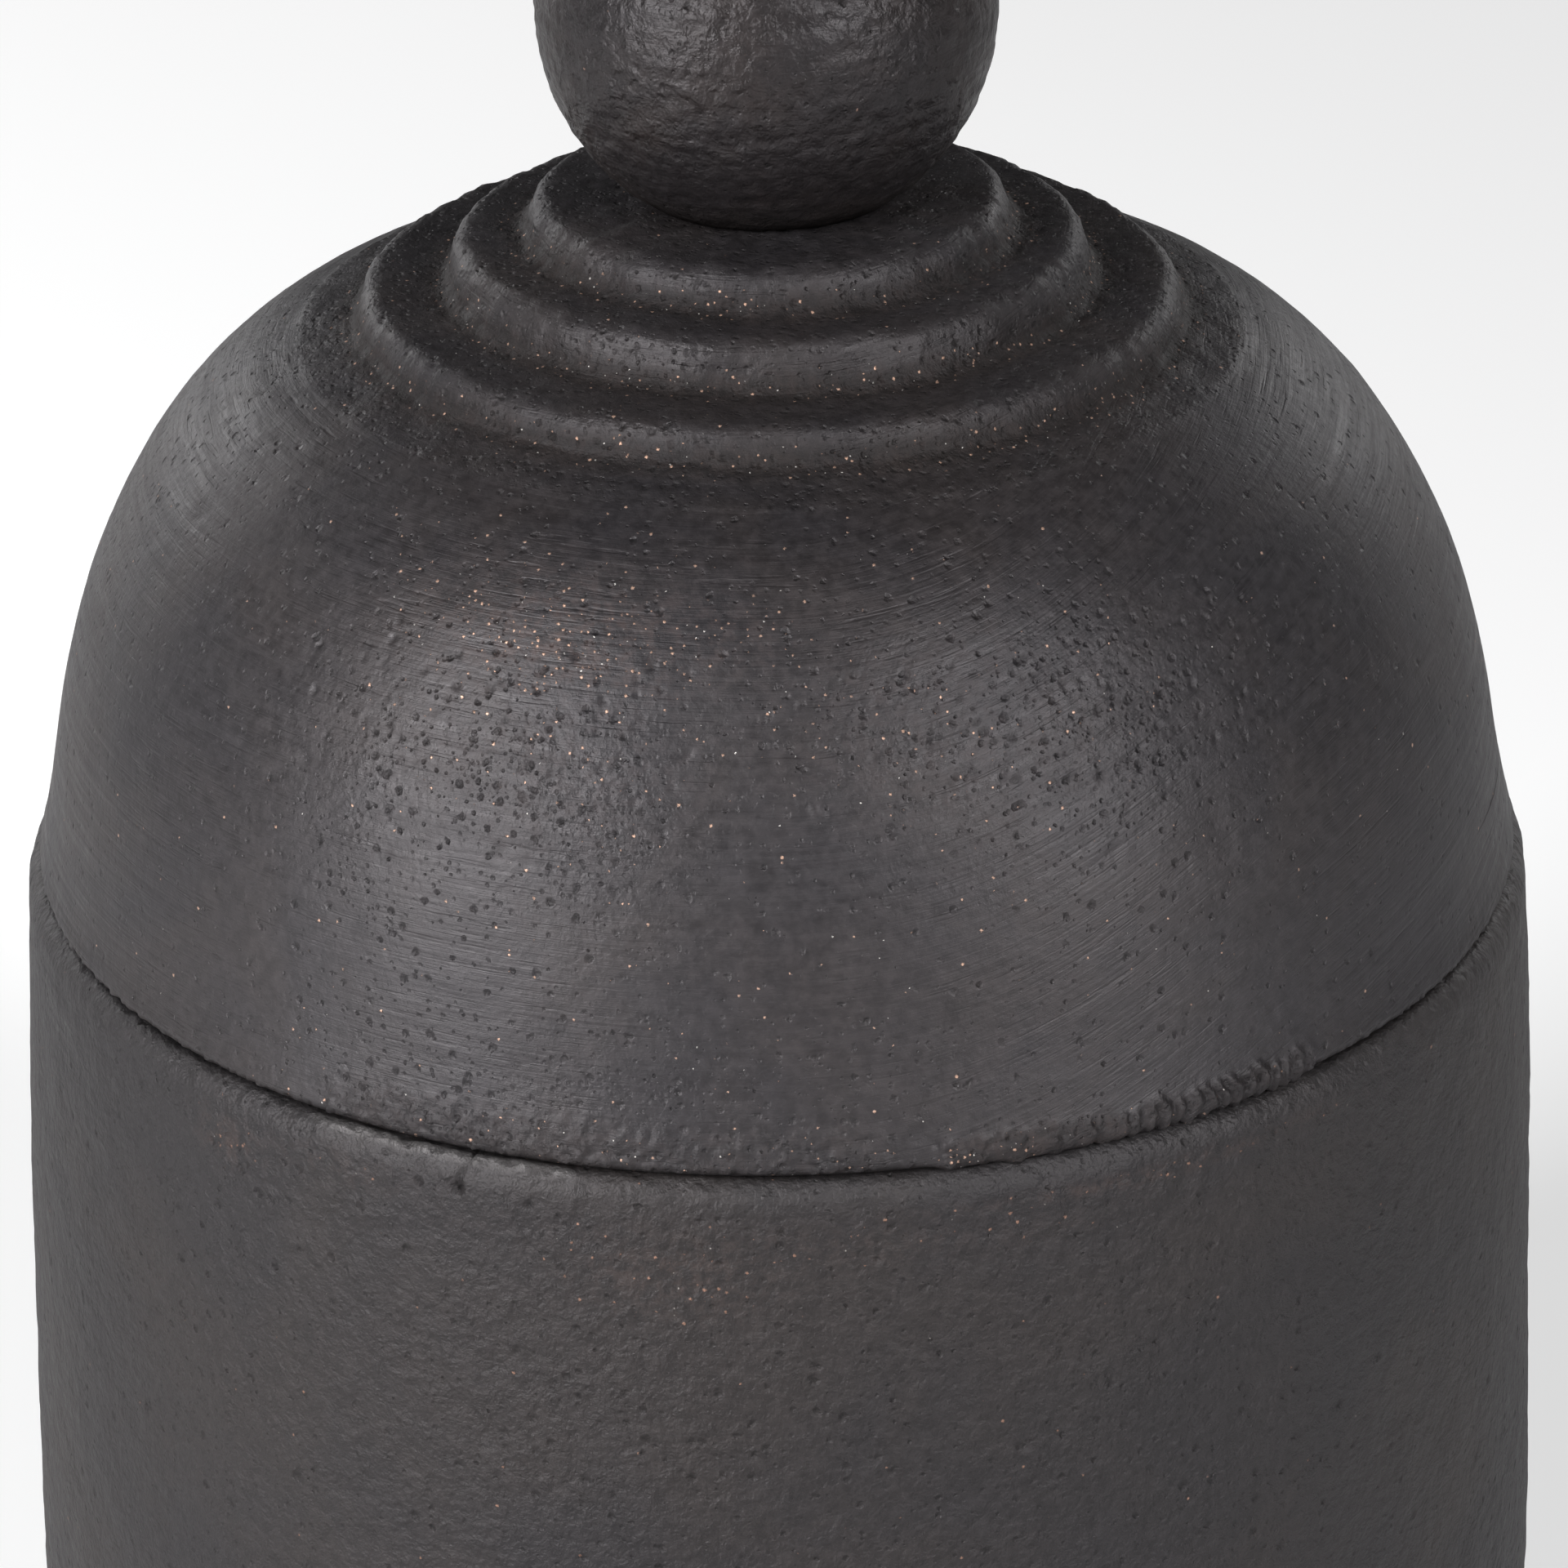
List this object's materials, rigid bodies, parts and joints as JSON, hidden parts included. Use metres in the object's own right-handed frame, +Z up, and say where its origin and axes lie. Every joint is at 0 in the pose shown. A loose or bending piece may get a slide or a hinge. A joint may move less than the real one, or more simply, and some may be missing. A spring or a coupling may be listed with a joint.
{
  "type": "lidded candle jar",
  "caption": "Black cast iron candle jar with a bellied wall, a lift-off domed lid with stepped rings and a ball knob.",
  "frame": {"origin": "on the table, under the middle of the jar", "axes": "+Z up along the jar's axis, towards the ball knob; X and Y across, the four foot pads at 45 degrees to them"},
  "size_m": [0.105, 0.105, 0.1637],
  "materials": {
    "jar_iron": "matte black patina, brown tint",
    "lid_iron": "black patina, brushed satin",
    "knob_iron": "brown-black satin patina",
    "seal_silicone": "translucent silicone",
    "plated_steel": "zinc plated",
    "pad_rubber": "matte black"
  },
  "bodies": {
    "jar": {"jar_body": "jar_iron", "foot_pad_1": "pad_rubber", "foot_pad_2": "pad_rubber", "foot_pad_3": "pad_rubber", "foot_pad_4": "pad_rubber"},
    "seal": {"lid_seal_ring": "seal_silicone"},
    "lid": {"lid_dome": "lid_iron", "ball_knob": "knob_iron", "knob_stud": "plated_steel", "knob_washer": "plated_steel", "knob_lock_washer": "plated_steel", "knob_nut": "plated_steel"}
  },
  "joints": [
    {"name": "lid_lift", "type": "slide", "parent": "jar", "child": "seal", "axis": [0, 0, 1], "range_m": [0, 0.12]},
    {"name": "lid_turn", "type": "hinge", "parent": "seal", "child": "lid", "pos_m": [0, 0, 0.092], "axis": [0, 0, 1], "continuous": true}
  ]
}
